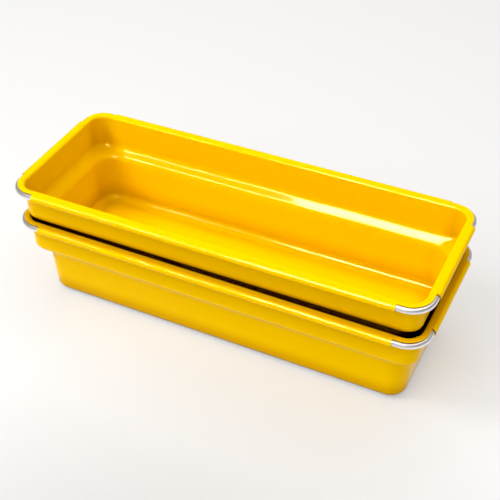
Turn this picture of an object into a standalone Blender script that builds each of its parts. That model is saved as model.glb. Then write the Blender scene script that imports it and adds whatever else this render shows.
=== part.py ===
"""Two identical long, narrow pressed-steel trays, one nested in the other.

Each tray is one pressing with a wide upper chamber, a sloped step all the way
round and a narrower lower chamber. The rim turns out into a flat lip, and on the
four straight sides the lip is rolled over a stiffening wire. The rolled edge stops
short of every corner, so the wire is bare there.

Frame: the lower tray's centre is on the Z axis and its base is on Z = 0.
X runs along the tray and Y across it. All sizes are in metres.
"""
import math

import bmesh
import bpy
from mathutils import Vector

# overall size of one tray, over the rolled edges
TRAY_LENGTH = 0.4000
TRAY_WIDTH = 0.1535
TRAY_HEIGHT = 0.0896

# steel sheet and stiffening wire
SHEET = 0.0007
WIRE_DIAMETER = 0.0057
WIRE_CLEARANCE = 0.00035
HEM_RADIUS = WIRE_DIAMETER / 2 + WIRE_CLEARANCE + SHEET
HEM_TURN_DEG = 290.0
HEM_STEPS = 16
WIRE_SECTION_SIDES = 16

# how far the rolled edges stop short of the tray's ends and sides
LONG_HEM_STOP = 0.0288
SHORT_HEM_STOP = 0.0286

# section through a wall, measured on the inside face: insets are from the tray's
# overall outline and heights are from the underside of the base
WALL_INSET = 0.0102
WALL_DRAFT = 0.006
RIM_BEND_RADIUS = 0.0025
STEP_TOP_HEIGHT = 0.0573
STEP_WIDTH = 0.0078
STEP_SLOPE_DEG = 48.0
STEP_TOP_RADIUS = 0.0100
STEP_FOOT_RADIUS = 0.0100
LOWER_DRAFT = 0.062
FLOOR_RADIUS = 0.0085

# corner radii in plan, inside face
UPPER_CORNER_RADIUS = 0.0130
LOWER_CORNER_RADIUS = 0.0180
FLOOR_CORNER_RADIUS = 0.0150
LEAST_CORNER_RADIUS = 0.0040
CORNER_STEPS = 8
FLAT_MARGIN = 0.0010

# how the upper tray sits in the lower one
NEST_RISE = 0.0370
NEST_SHIFT_X = -0.0007
NEST_SHIFT_Y = 0.0
NEST_TURN_DEG = 0.38

ENAMEL_COLOUR = (0.90, 0.52, 0.01, 1.0)
WIRE_COLOUR = (0.72, 0.72, 0.74, 1.0)


def clear_scene():
    """Remove every object that a new file starts with."""
    for obj in list(bpy.data.objects):
        bpy.data.objects.remove(obj, do_unlink=True)


def make_material(name, colour, roughness, metallic):
    """Plain Principled material."""
    material = bpy.data.materials.new(name)
    material.use_nodes = True
    shader = material.node_tree.nodes["Principled BSDF"]
    shader.inputs["Base Color"].default_value = colour
    shader.inputs["Roughness"].default_value = roughness
    shader.inputs["Metallic"].default_value = metallic
    return material


def round_corner(before, corner, after, radius, steps):
    """Points of the arc that rounds one corner of the wall section."""
    arm_in = (before - corner).normalized()
    arm_out = (after - corner).normalized()
    half_angle = arm_in.angle(arm_out) / 2
    reach = radius / math.tan(half_angle)
    centre = corner + (arm_in + arm_out).normalized() * (radius / math.sin(half_angle))
    start = corner + arm_in * reach - centre
    end = corner + arm_out * reach - centre
    sweep = start.angle_signed(end)
    points = []
    for step in range(steps + 1):
        angle = -sweep * step / steps
        turned = Vector((
            start.x * math.cos(angle) - start.y * math.sin(angle),
            start.x * math.sin(angle) + start.y * math.cos(angle),
        ))
        points.append(centre + turned)
    return points


def wall_section():
    """Inside face of the wall, from the floor up to the lip, as (inset, height)."""
    step_top_inset = WALL_INSET + WALL_DRAFT * (TRAY_HEIGHT - STEP_TOP_HEIGHT)
    step_drop = STEP_WIDTH * math.tan(math.radians(STEP_SLOPE_DEG))
    step_foot_height = STEP_TOP_HEIGHT - step_drop
    step_foot_inset = step_top_inset + STEP_WIDTH
    floor_inset = step_foot_inset + LOWER_DRAFT * (step_foot_height - SHEET)
    floor_middle = Vector((TRAY_WIDTH / 2, SHEET))
    floor_corner = Vector((floor_inset, SHEET))
    step_foot = Vector((step_foot_inset, step_foot_height))
    step_top = Vector((step_top_inset, STEP_TOP_HEIGHT))
    rim_corner = Vector((WALL_INSET, TRAY_HEIGHT))
    lip_edge = Vector((HEM_RADIUS, TRAY_HEIGHT))
    section = []
    section += round_corner(floor_middle, floor_corner, step_foot, FLOOR_RADIUS, 5)
    section += round_corner(floor_corner, step_foot, step_top, STEP_FOOT_RADIUS, 3)
    section += round_corner(step_foot, step_top, rim_corner, STEP_TOP_RADIUS, 3)
    section += round_corner(step_top, rim_corner, lip_edge, RIM_BEND_RADIUS, 4)
    section.append(lip_edge)
    return section, floor_inset, step_foot, step_top


def corner_radius(inset, height, floor_inset, step_foot, step_top):
    """Plan radius of the tray's corners at one station of the wall section."""
    if height <= step_foot.y:
        share = max(0.0, (height - SHEET) / (step_foot.y - SHEET))
        wall_inset = floor_inset + (step_foot.x - floor_inset) * share
        radius = FLOOR_CORNER_RADIUS + (LOWER_CORNER_RADIUS - FLOOR_CORNER_RADIUS) * share
    elif height <= step_top.y:
        share = (height - step_foot.y) / (step_top.y - step_foot.y)
        wall_inset = step_foot.x + (step_top.x - step_foot.x) * share
        radius = LOWER_CORNER_RADIUS + (UPPER_CORNER_RADIUS - LOWER_CORNER_RADIUS) * share
    else:
        wall_inset = WALL_INSET
        radius = UPPER_CORNER_RADIUS
    return max(radius - (inset - wall_inset), LEAST_CORNER_RADIUS)


def outline(inset, height, radius):
    """Rounded rectangle, anticlockwise from the +X side, with a point at every hem end."""
    half_x = TRAY_LENGTH / 2 - inset
    half_y = TRAY_WIDTH / 2 - inset
    stop_x = min(TRAY_LENGTH / 2 - LONG_HEM_STOP, half_x - radius - FLAT_MARGIN)
    stop_y = min(TRAY_WIDTH / 2 - SHORT_HEM_STOP, half_y - radius - FLAT_MARGIN)
    points = []
    quarters = ((1, 1), (-1, 1), (-1, -1), (1, -1))
    for quarter, (sign_x, sign_y) in enumerate(quarters):
        before = Vector((sign_x * half_x, sign_y * stop_y, height))
        after = Vector((sign_x * stop_x, sign_y * half_y, height))
        if quarter % 2:
            before, after = after, before
        arc = []
        for step in range(CORNER_STEPS + 1):
            angle = math.pi / 2 * (quarter + step / CORNER_STEPS)
            arc.append(Vector((
                sign_x * (half_x - radius) + radius * math.cos(angle),
                sign_y * (half_y - radius) + radius * math.sin(angle),
                height,
            )))
        points += [before] + arc + [after]
    return points


def grow(bm, edges, place, slot):
    """Extrude edges and put each new vertex where its outline slot says."""
    result = bmesh.ops.extrude_edge_only(bm, edges=edges)
    new_edges = [item for item in result["geom"] if isinstance(item, bmesh.types.BMEdge)]
    new_verts = [item for item in result["geom"] if isinstance(item, bmesh.types.BMVert)]
    for vert in new_verts:
        vert.co = place[vert[slot]]
    return new_edges


def hem_points(points, turn):
    """Outline slots at the hem ends, carried over the wire by a share of the turn."""
    angle = math.radians(90.0 - HEM_TURN_DEG * turn)
    out = TRAY_LENGTH / 2 - HEM_RADIUS + HEM_RADIUS * math.cos(angle)
    side_out = TRAY_WIDTH / 2 - HEM_RADIUS + HEM_RADIUS * math.cos(angle)
    height = TRAY_HEIGHT - HEM_RADIUS + HEM_RADIUS * math.sin(angle)
    placed = {}
    per_corner = CORNER_STEPS + 3
    for number, point in enumerate(points):
        on_end = (number % per_corner == 0) == ((number // per_corner) % 2 == 0)
        if on_end:
            placed[number] = Vector((math.copysign(out, point.x), point.y, height))
        else:
            placed[number] = Vector((point.x, math.copysign(side_out, point.y), height))
    return placed


def pan_mesh():
    """Inside face of the pressing: floor, walls, step, lip and four rolled edges."""
    section, floor_inset, step_foot, step_top = wall_section()
    bm = bmesh.new()
    slot = bm.verts.layers.int.new("slot")
    first = section[0]
    radius = corner_radius(first.x, first.y, floor_inset, step_foot, step_top)
    ring = []
    for number, point in enumerate(outline(first.x, first.y, radius)):
        vert = bm.verts.new(point)
        vert[slot] = number
        ring.append(vert)
    floor = bm.faces.new(ring)
    edges = list(floor.edges)
    points = []
    for station in section[1:]:
        radius = corner_radius(station.x, station.y, floor_inset, step_foot, step_top)
        points = outline(station.x, station.y, radius)
        edges = grow(bm, edges, points, slot)
    per_corner = CORNER_STEPS + 3
    last = len(points) - 1
    hems = []
    for edge in edges:
        low, high = sorted(vert[slot] for vert in edge.verts)
        crosses_start = low == 0 and high == last
        if crosses_start or (high % per_corner == 0 and high - low == 1):
            hems.append(edge)
    for step in range(1, HEM_STEPS + 1):
        hems = grow(bm, hems, hem_points(points, step / HEM_STEPS), slot)
    bmesh.ops.recalc_face_normals(bm, faces=bm.faces[:])
    bm.normal_update()
    floor.normal_update()
    if floor.normal.z < 0:
        bmesh.ops.reverse_faces(bm, faces=bm.faces[:])
    mesh = bpy.data.meshes.new("tray_pan")
    bm.to_mesh(mesh)
    bm.free()
    return mesh


def wire_mesh():
    """Round wire bent to the rim's outline, its centre line inside the rolled edges."""
    inset = HEM_RADIUS
    radius = UPPER_CORNER_RADIUS + WALL_INSET - inset
    path = outline(inset, TRAY_HEIGHT - HEM_RADIUS, radius)
    bm = bmesh.new()
    slot = bm.verts.layers.int.new("slot")
    section = bmesh.ops.create_circle(
        bm, cap_ends=False, segments=WIRE_SECTION_SIDES, radius=WIRE_DIAMETER / 2)
    local = []
    for number, vert in enumerate(section["verts"]):
        vert[slot] = number
        local.append(vert.co.copy())
    count = len(path)

    def placed(station):
        before = path[(station - 1) % count]
        here = path[station % count]
        after = path[(station + 1) % count]
        along_in = (here - before).normalized()
        along_out = (after - here).normalized()
        along = (along_in + along_out).normalized()
        outward = along.cross(Vector((0, 0, 1)))
        stretch = 1 / along.dot(along_out)
        return [here + outward * (co.x * stretch) + Vector((0, 0, co.y)) for co in local]

    start = list(section["verts"])
    for vert, co in zip(start, placed(0)):
        vert.co = co
    start_edges = bm.edges[:]
    edges = start_edges
    for station in range(1, count):
        edges = grow(bm, edges, placed(station), slot)
    bmesh.ops.bridge_loops(bm, edges=edges + start_edges)
    bmesh.ops.recalc_face_normals(bm, faces=bm.faces[:])
    mesh = bpy.data.meshes.new("rim_wire")
    bm.to_mesh(mesh)
    bm.free()
    return mesh


def add_piece(name, mesh, material, parent):
    """One named piece of a tray."""
    piece = bpy.data.objects.new(name, mesh)
    bpy.context.scene.collection.objects.link(piece)
    if not mesh.materials:
        mesh.materials.append(material)
    piece.parent = parent
    piece.data.shade_smooth()
    piece.data.set_sharp_from_angle(angle=math.radians(35))
    return piece


def add_tray(name, pan, wire, enamel, steel):
    """One whole tray on its own empty."""
    holder = bpy.data.objects.new(name, None)
    bpy.context.scene.collection.objects.link(holder)
    body = add_piece(name + "_pan", pan, enamel, holder)
    sheet = body.modifiers.new("sheet", "SOLIDIFY")
    sheet.thickness = SHEET
    sheet.offset = -1.0
    sheet.use_even_offset = True
    sheet.use_quality_normals = True
    add_piece(name + "_rim_wire", wire, steel, holder)
    return holder


clear_scene()
yellow_enamel = make_material("yellow_enamel", ENAMEL_COLOUR, 0.16, 0.0)
bright_wire = make_material("bright_wire", WIRE_COLOUR, 0.30, 1.0)
shared_pan = pan_mesh()
shared_wire = wire_mesh()
lower = add_tray("lower_tray", shared_pan, shared_wire, yellow_enamel, bright_wire)
upper = add_tray("upper_tray", shared_pan, shared_wire, yellow_enamel, bright_wire)
upper.location = (NEST_SHIFT_X, NEST_SHIFT_Y, NEST_RISE)
upper.rotation_euler = (0.0, 0.0, math.radians(NEST_TURN_DEG))
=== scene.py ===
import math

import bmesh
import bpy
from mathutils import Matrix, Vector


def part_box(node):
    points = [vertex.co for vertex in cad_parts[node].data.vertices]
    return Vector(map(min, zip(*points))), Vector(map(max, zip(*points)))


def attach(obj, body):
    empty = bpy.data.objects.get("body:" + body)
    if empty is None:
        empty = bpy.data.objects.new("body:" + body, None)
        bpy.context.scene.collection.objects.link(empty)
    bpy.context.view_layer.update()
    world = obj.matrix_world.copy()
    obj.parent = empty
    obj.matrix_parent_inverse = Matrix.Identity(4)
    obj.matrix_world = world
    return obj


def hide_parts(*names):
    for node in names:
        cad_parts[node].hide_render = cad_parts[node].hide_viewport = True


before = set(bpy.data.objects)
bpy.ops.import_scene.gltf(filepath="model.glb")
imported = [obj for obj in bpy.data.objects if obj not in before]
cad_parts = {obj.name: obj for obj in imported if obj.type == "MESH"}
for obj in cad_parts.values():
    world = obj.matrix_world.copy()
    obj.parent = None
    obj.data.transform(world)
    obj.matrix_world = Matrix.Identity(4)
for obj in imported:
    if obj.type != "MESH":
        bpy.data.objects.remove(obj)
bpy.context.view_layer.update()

# ---------------------------------------------------------------------------
# The pressings. Each tray body is one blank of steel sheet, drawn in a press to
# two depths with a sloped step between them, its lip rolled over a wire on the
# four straight sides, and the whole dipped in a thick, glossy yellow enamel.
# ---------------------------------------------------------------------------
lower_low, lower_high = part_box("lower_tray_pan")
upper_low, upper_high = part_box("upper_tray_pan")
enamel_allowance = 0.00002
tray_length = lower_high.x - lower_low.x
tray_width = lower_high.y - lower_low.y
tray_height = lower_high.z - lower_low.z - enamel_allowance
nest_place = (upper_low + upper_high) / 2
nest_place.z = upper_low.z
nest_turn = math.radians(0.38)

sheet = 0.0007
wire_radius = 0.00285
wire_clearance = 0.00035
hem_radius = wire_radius + wire_clearance + sheet
hem_turn = math.radians(292)
hem_steps = 44
hem_stop_long = 0.0288
hem_stop_short = 0.0286

wall_inset = 0.0102
wall_draft = 0.006
rim_bend = 0.0025
step_top_height = 0.0573
step_width = 0.0078
step_slope = math.radians(48)
step_top_fillet = 0.0100
step_foot_fillet = 0.0100
lower_draft = 0.062
floor_fillet = 0.0085
upper_corner = 0.0130
lower_corner = 0.0180
floor_corner = 0.0150
least_corner = 0.004
corner_steps = 20
flat_margin = 0.0010
floor_border = 0.004

step_top = Vector((wall_inset + wall_draft * (tray_height - step_top_height), step_top_height))
step_foot = step_top + Vector((step_width, -step_width * math.tan(step_slope)))
floor_edge = Vector((step_foot.x + lower_draft * (step_foot.y - sheet), sheet))
floor_middle = Vector((tray_width / 2, sheet))
rim_top = Vector((wall_inset, tray_height))
lip_edge = Vector((hem_radius, tray_height))


def rounded(before, corner, after, radius, steps):
    """The arc that rounds one corner of the wall's section, start and end included."""
    arm_in = (before - corner).normalized()
    arm_out = (after - corner).normalized()
    half = arm_in.angle(arm_out) / 2
    centre = corner + (arm_in + arm_out).normalized() * (radius / math.sin(half))
    start = corner + arm_in * (radius / math.tan(half)) - centre
    end = corner + arm_out * (radius / math.tan(half)) - centre
    sweep = -start.angle_signed(end)
    return [centre + Matrix.Rotation(sweep * k / steps, 2) @ start for k in range(steps + 1)]


# From the middle of the floor up and out to the lip: inset from the tray's edge, and height.
section = [
    *rounded(floor_middle, floor_edge, step_foot, floor_fillet, 16),
    *rounded(floor_edge, step_foot, step_top, step_foot_fillet, 12),
    *rounded(step_foot, step_top, rim_top, step_top_fillet, 12),
    *rounded(step_top, rim_top, lip_edge, rim_bend, 10),
    lip_edge,
]


def plan_radius(station):
    """How round the tray is in plan, at one height on its wall."""
    if station.y <= step_foot.y:
        share = max(0.0, (station.y - sheet) / (step_foot.y - sheet))
        wall = floor_edge.x + (step_foot.x - floor_edge.x) * share
        radius = floor_corner + (lower_corner - floor_corner) * share
    elif station.y <= step_top.y:
        share = (station.y - step_foot.y) / (step_top.y - step_foot.y)
        wall = step_foot.x + (step_top.x - step_foot.x) * share
        radius = lower_corner + (upper_corner - lower_corner) * share
    else:
        wall = wall_inset
        radius = upper_corner
    return max(radius - (station.x - wall), least_corner)


def outline(inset, height, radius):
    """Rounded rectangle, with a point on each straight side where the rolled edge ends."""
    half_x = tray_length / 2 - inset
    half_y = tray_width / 2 - inset
    stop_x = min(tray_length / 2 - hem_stop_long, half_x - radius - flat_margin)
    stop_y = min(tray_width / 2 - hem_stop_short, half_y - radius - flat_margin)
    points = []
    for quarter, (side_x, side_y) in enumerate(((1, 1), (-1, 1), (-1, -1), (1, -1))):
        first = Vector((side_x * half_x, side_y * stop_y, height))
        last = Vector((side_x * stop_x, side_y * half_y, height))
        if quarter % 2:
            first, last = last, first
        centre = Vector((side_x * (half_x - radius), side_y * (half_y - radius), height))
        points.append(first)
        for k in range(corner_steps + 1):
            angle = math.pi / 2 * (quarter + k / corner_steps)
            points.append(centre + Vector((math.cos(angle), math.sin(angle), 0)) * radius)
        points.append(last)
    return points


points_per_corner = corner_steps + 3


def rolled(points, turn):
    """Where the lip's points lie once they are carried that far over the wire."""
    angle = math.pi / 2 - hem_turn * turn
    reach = hem_radius * math.cos(angle) - hem_radius
    height = tray_height - hem_radius + hem_radius * math.sin(angle)
    places = {}
    for number, point in enumerate(points):
        corner, within = divmod(number, points_per_corner)
        on_end = (within == 0) == (corner % 2 == 0)
        if on_end:
            edge_x = math.copysign(tray_length / 2 + reach, point.x)
            places[number] = Vector((edge_x, point.y, height))
        else:
            edge_y = math.copysign(tray_width / 2 + reach, point.y)
            places[number] = Vector((point.x, edge_y, height))
    return places


def grow(bm, edges, places, slot):
    """Extrudes an edge loop or strip and moves its new points to their places."""
    made = bmesh.ops.extrude_edge_only(bm, edges=edges)["geom"]
    for vert in made:
        if isinstance(vert, bmesh.types.BMVert):
            vert.co = places[vert[slot]]
    return [edge for edge in made if isinstance(edge, bmesh.types.BMEdge)]


def finished(bm, name, place):
    """Sets a piece in its place and makes it a smooth-shaded object at the origin."""
    bmesh.ops.transform(bm, matrix=place, verts=bm.verts[:])
    mesh = bpy.data.meshes.new(name)
    bm.to_mesh(mesh)
    bm.free()
    mesh.shade_smooth()
    piece = bpy.data.objects.new(name, mesh)
    bpy.context.scene.collection.objects.link(piece)
    return piece


def press_pan(name, place):
    """One pressing: floor, lower wall, step, upper wall, lip and rolled edges."""
    bm = bmesh.new()
    slot = bm.verts.layers.int.new("slot")
    ring = []
    for number, point in enumerate(outline(*section[0], plan_radius(section[0]))):
        vert = bm.verts.new(point)
        vert[slot] = number
        ring.append(vert)
    floor = bm.faces.new(ring)
    edges = list(floor.edges)
    points = []
    for station in section[1:]:
        points = outline(*station, plan_radius(station))
        edges = grow(bm, edges, points, slot)
    hems = []
    for edge in edges:
        low, high = sorted(vert[slot] for vert in edge.verts)
        closing = low == 0 and high == len(points) - 1
        between_corners = high % points_per_corner == 0 and high - low == 1
        if closing or between_corners:
            hems.append(edge)
    for step in range(1, hem_steps + 1):
        hems = grow(bm, hems, rolled(points, step / hem_steps), slot)
    bmesh.ops.recalc_face_normals(bm, faces=bm.faces[:])
    if floor.normal.z < 0:
        bmesh.ops.reverse_faces(bm, faces=bm.faces[:])
    bmesh.ops.inset_individual(
        bm, faces=[floor], thickness=floor_border, use_even_offset=True)
    pan = finished(bm, name, place)
    wall = pan.modifiers.new("sheet", "SOLIDIFY")
    wall.thickness = sheet
    wall.offset = -1.0
    wall.use_even_offset = True
    wall.use_quality_normals = True
    edge = pan.modifiers.new("enamelled edge", "BEVEL")
    edge.width = 0.00022
    edge.segments = 3
    edge.limit_method = "ANGLE"
    edge.angle_limit = math.radians(50)
    edge.harden_normals = True
    return pan


def node(tree, kind, **values):
    """Adds a shader node and sets its plain properties."""
    made = tree.nodes.new(kind)
    for key, value in values.items():
        setattr(made, key, value)
    return made


def noise(tree, scale, detail):
    """Noise laid through the piece in its own space; gives its value."""
    where = node(tree, "ShaderNodeTexCoord")
    texture = node(tree, "ShaderNodeTexNoise")
    texture.inputs["Scale"].default_value = scale
    texture.inputs["Detail"].default_value = detail
    tree.links.new(where.outputs["Object"], texture.inputs["Vector"])
    return texture.outputs["Fac"]


def shades(tree, value, *stops):
    """Turns a value into a colour between stops, each a position and a colour."""
    ramp = node(tree, "ShaderNodeValToRGB")
    elements = ramp.color_ramp.elements
    for element, (position, colour) in zip((elements[0], elements[1]), (stops[0], stops[-1])):
        element.position = position
        element.color = (*colour, 1)
    for position, colour in stops[1:-1]:
        elements.new(position).color = (*colour, 1)
    tree.links.new(value, ramp.inputs["Fac"])
    return ramp.outputs["Color"]


def between(tree, value, low, high):
    """Turns a value from 0 to 1 into one from low to high."""
    spread = node(tree, "ShaderNodeMapRange")
    spread.inputs["To Min"].default_value = low
    spread.inputs["To Max"].default_value = high
    tree.links.new(value, spread.inputs["Value"])
    return spread.outputs["Result"]


def bump(tree, height, strength, distance, under=None):
    """Raises the surface by a height value, on top of the relief under it."""
    relief = node(tree, "ShaderNodeBump")
    relief.inputs["Strength"].default_value = strength
    relief.inputs["Distance"].default_value = distance
    tree.links.new(height, relief.inputs["Height"])
    if under is not None:
        tree.links.new(under, relief.inputs["Normal"])
    return relief.outputs["Normal"]


def yellow_enamel():
    """Thick glossy enamel: faint pooling, painted shade wherever other surfaces lie close,
    orange peel, slow waves.
    """
    material = bpy.data.materials.new("yellow enamel")
    material.use_nodes = True
    tree = material.node_tree
    shader = tree.nodes["Principled BSDF"]
    shader.inputs["IOR"].default_value = 1.5
    shader.inputs["Specular IOR Level"].default_value = 0.06
    shader.inputs["Specular Tint"].default_value = (1.0, 0.9, 0.4, 1)
    shader.inputs["Metallic"].default_value = 0.0
    pooling = shades(
        tree, noise(tree, 9.0, 3.0),
        (0.3, (0.935, 0.560, 0.0)), (0.7, (0.955, 0.575, 0.0)))
    # Painted shade: the colour is darkened wherever other surfaces lie within 24 mm, in the
    # corners, under the rolled edges and under the step, down to near-black in the gap between
    # the trays.
    nook = node(tree, "ShaderNodeAmbientOcclusion", samples=8)
    nook.inputs["Distance"].default_value = 0.024
    depth = shades(
        tree, nook.outputs["AO"],
        (0.17, (0.02, 0.01, 0.01)), (0.56, (0.70, 0.63, 0.5)),
        (0.80, (0.82, 0.70, 0.6)), (0.94, (1.0, 1.0, 1.0)))
    # The pooled yellow multiplied by the painted shade.
    shaded_pooling = node(tree, "ShaderNodeMix", data_type="RGBA", blend_type="MULTIPLY")
    shaded_pooling.inputs["Factor"].default_value = 1.0
    tree.links.new(pooling, shaded_pooling.inputs["A"])
    tree.links.new(depth, shaded_pooling.inputs["B"])
    tree.links.new(shaded_pooling.outputs["Result"], shader.inputs["Base Color"])
    haze = noise(tree, 60.0, 4.0)
    tree.links.new(between(tree, haze, 0.04, 0.08), shader.inputs["Roughness"])
    waves = bump(tree, noise(tree, 22.0, 1.0), 0.14, 0.0004)
    peel = bump(tree, noise(tree, 420.0, 2.0), 0.25, 0.00001, under=waves)
    tree.links.new(peel, shader.inputs["Normal"])
    return material


enamel = yellow_enamel()
standing = Matrix.Translation(Vector((0, 0, lower_low.z)))
nested = Matrix.Translation(nest_place) @ Matrix.Rotation(nest_turn, 4, "Z")
places = {"lower_tray": standing, "upper_tray": nested}
pressings = []
for tray, place in places.items():
    pan = press_pan(tray + "_pressing", place)
    pan.data.materials.append(enamel)
    pressings.append(pan)
    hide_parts(tray + "_pan")
    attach(pan, tray)

# ---------------------------------------------------------------------------
# The rim wires. Each is one length of bright drawn steel wire, bent to the rim's
# outline and butted end to end inside a rolled edge; it is bare at the corners.
# ---------------------------------------------------------------------------
wire_sides = 40
wire_height = tray_height - hem_radius
wire_corner = upper_corner + wall_inset - hem_radius


def bend_wire(name, place):
    """Drags the wire's round section along the rim's outline and closes the ring."""
    path = outline(hem_radius, wire_height, wire_corner)
    bm = bmesh.new()
    slot = bm.verts.layers.int.new("slot")
    start = bmesh.ops.create_circle(bm, segments=wire_sides, radius=wire_radius)["verts"]
    round_section = []
    for number, vert in enumerate(start):
        vert[slot] = number
        round_section.append(vert.co.copy())

    def station(k):
        before, here, after = path[k - 1], path[k], path[(k + 1) % len(path)]
        heading = (after - here).normalized()
        along = ((here - before).normalized() + heading).normalized()
        outward = along.cross(Vector((0, 0, 1))) / along.dot(heading)
        return [here + outward * co.x + Vector((0, 0, co.y)) for co in round_section]

    for vert, co in zip(start, station(0)):
        vert.co = co
    first = bm.edges[:]
    edges = first
    for k in range(1, len(path)):
        edges = grow(bm, edges, station(k), slot)
    bmesh.ops.bridge_loops(bm, edges=edges + first)
    bmesh.ops.recalc_face_normals(bm, faces=bm.faces[:])
    return finished(bm, name, place)


def bright_wire():
    """Drawn steel: satin, with a fine tooth and a slightly uneven bright coat."""
    material = bpy.data.materials.new("bright wire")
    material.use_nodes = True
    tree = material.node_tree
    shader = tree.nodes["Principled BSDF"]
    shader.inputs["Metallic"].default_value = 1.0
    coat = noise(tree, 180.0, 4.0)
    bright = shades(tree, coat, (0.3, (0.80, 0.80, 0.83)), (0.7, (0.92, 0.92, 0.93)))
    tooth = bump(tree, noise(tree, 900.0, 2.0), 0.3, 0.00002)
    tree.links.new(bright, shader.inputs["Base Color"])
    tree.links.new(between(tree, coat, 0.28, 0.42), shader.inputs["Roughness"])
    tree.links.new(tooth, shader.inputs["Normal"])
    return material


steel = bright_wire()
wires = []
for tray, place in places.items():
    wire = bend_wire(tray + "_wire", place)
    wire.data.materials.append(steel)
    wires.append(wire)
    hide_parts(tray + "_rim_wire")
    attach(wire, tray)

# ---------------------------------------------------------------------------
# The studio: a seamless pale floor in an even surround, broad softboxes overhead,
# in front and at the left, two strips that only make the highlights on the enamel,
# a weak one for the wires, and a camera on a long lens.
# ---------------------------------------------------------------------------
floor_mesh = bpy.data.meshes.new("studio floor")
bm = bmesh.new()
bmesh.ops.create_grid(bm, x_segments=1, y_segments=1, size=6.0)
bm.to_mesh(floor_mesh)
bm.free()
floor_paper = bpy.data.materials.new("pale floor")
floor_paper.use_nodes = True
paper_tree = floor_paper.node_tree
paper = paper_tree.nodes["Principled BSDF"]
paper.inputs["Base Color"].default_value = (0.46, 0.46, 0.46, 1)
paper.inputs["Emission Color"].default_value = (1.0, 0.995, 0.995, 1)
# Painted light: the floor glows, dimmest near a point just in front of the trays and brighter
# farther out.
lie = node(paper_tree, "ShaderNodeTexCoord")
reach = node(paper_tree, "ShaderNodeVectorMath", operation="DISTANCE")
reach.inputs[1].default_value = (0.1, -0.38, 0.0)
paper_tree.links.new(lie.outputs["Object"], reach.inputs[0])
glow = between(paper_tree, reach.outputs["Value"], 0.18, 0.42)
glow.node.inputs["From Min"].default_value = 0.10
glow.node.inputs["From Max"].default_value = 0.34
paper_tree.links.new(glow, paper.inputs["Emission Strength"])
floor_mesh.materials.append(floor_paper)
studio_floor = bpy.data.objects.new("studio floor", floor_mesh)
bpy.context.scene.collection.objects.link(studio_floor)

surround = bpy.data.worlds.new("white surround")
surround.use_nodes = True
background = surround.node_tree.nodes["Background"]
background.inputs["Color"].default_value = (1.0, 0.94, 0.87, 1)
background.inputs["Strength"].default_value = 0.34
bpy.context.scene.world = surround

tray_middle = Vector((0.0, 0.0, 0.09))


def softbox(name, spot, width, depth, power, aim=tray_middle):
    """A flat softbox at spot, facing aim."""
    lamp = bpy.data.lights.new(name, "AREA")
    lamp.shape = "RECTANGLE"
    lamp.size = width
    lamp.size_y = depth
    lamp.energy = power
    holder = bpy.data.objects.new(name, lamp)
    facing = (aim - Vector(spot)).to_track_quat("-Z", "Y").to_matrix().to_4x4()
    holder.matrix_world = Matrix.Translation(Vector(spot)) @ facing
    bpy.context.scene.collection.objects.link(holder)
    return holder


def lights_only(lamp, pieces):
    """Keeps a lamp's light on the named pieces."""
    lit = bpy.data.collections.new(lamp.name + " receivers")
    for piece in pieces:
        lit.objects.link(piece)
    lamp.light_linking.receiver_collection = lit


softbox("overhead", (0.0, 0.3, 2.0), 2.2, 2.2, 25.5, aim=Vector((0.0, 0.25, 0.0)))
front_side = softbox("front side", (-0.45, -1.45, 1.35), 1.6, 0.8, 13.5)
front_side.data.color = (0.99, 0.99, 1.0)
left_side = softbox("left side", (-1.15, -0.7, 1.5), 0.6, 0.6, 14.5)
left_side.data.color = (0.98, 1.0, 1.02)
right_fill = softbox("right fill", (1.1, -0.5, 1.2), 0.8, 0.8, 3.2)
lights_only(right_fill, pressings)
for broad in (front_side, left_side, right_fill):
    broad.visible_glossy = False
main_spot = (-0.12, -1.00, 1.06)
long_strip = softbox("long strip", (-0.45, -1.12, 0.86), 1.3, 0.17, 125.0)
main_strip = softbox("main strip", main_spot, 0.62, 0.36, 180.0)
wire_strip = softbox("wire strip", main_spot, 1.3, 0.3, 3.6)
for strip, pieces in ((long_strip, pressings), (main_strip, pressings), (wire_strip, wires)):
    strip.visible_diffuse = False
    lights_only(strip, pieces)

camera_data = bpy.data.cameras.new("camera")
camera_data.sensor_width = 36.0
camera_data.lens = 74.6568
camera = bpy.data.objects.new("camera", camera_data)
bpy.context.scene.collection.objects.link(camera)
bpy.context.scene.camera = camera
azimuth = math.radians(26.266)
elevation = math.radians(39.517)
roll = math.radians(-0.636)
stand = Vector((0.332841, -0.657546, 0.675171))
look = (
    Matrix.Rotation(azimuth, 4, "Z")
    @ Matrix.Rotation(math.pi / 2 - elevation, 4, "X")
    @ Matrix.Rotation(roll, 4, "Z")
)
camera.matrix_world = Matrix.Translation(stand) @ look

bpy.context.scene.cycles.diffuse_bounces = 2
grade = bpy.context.scene.view_settings
grade.view_transform = "Standard"
grade.use_curve_mapping = True
grade.curve_mapping.black_level = (0.008, 0.008, 0.008)
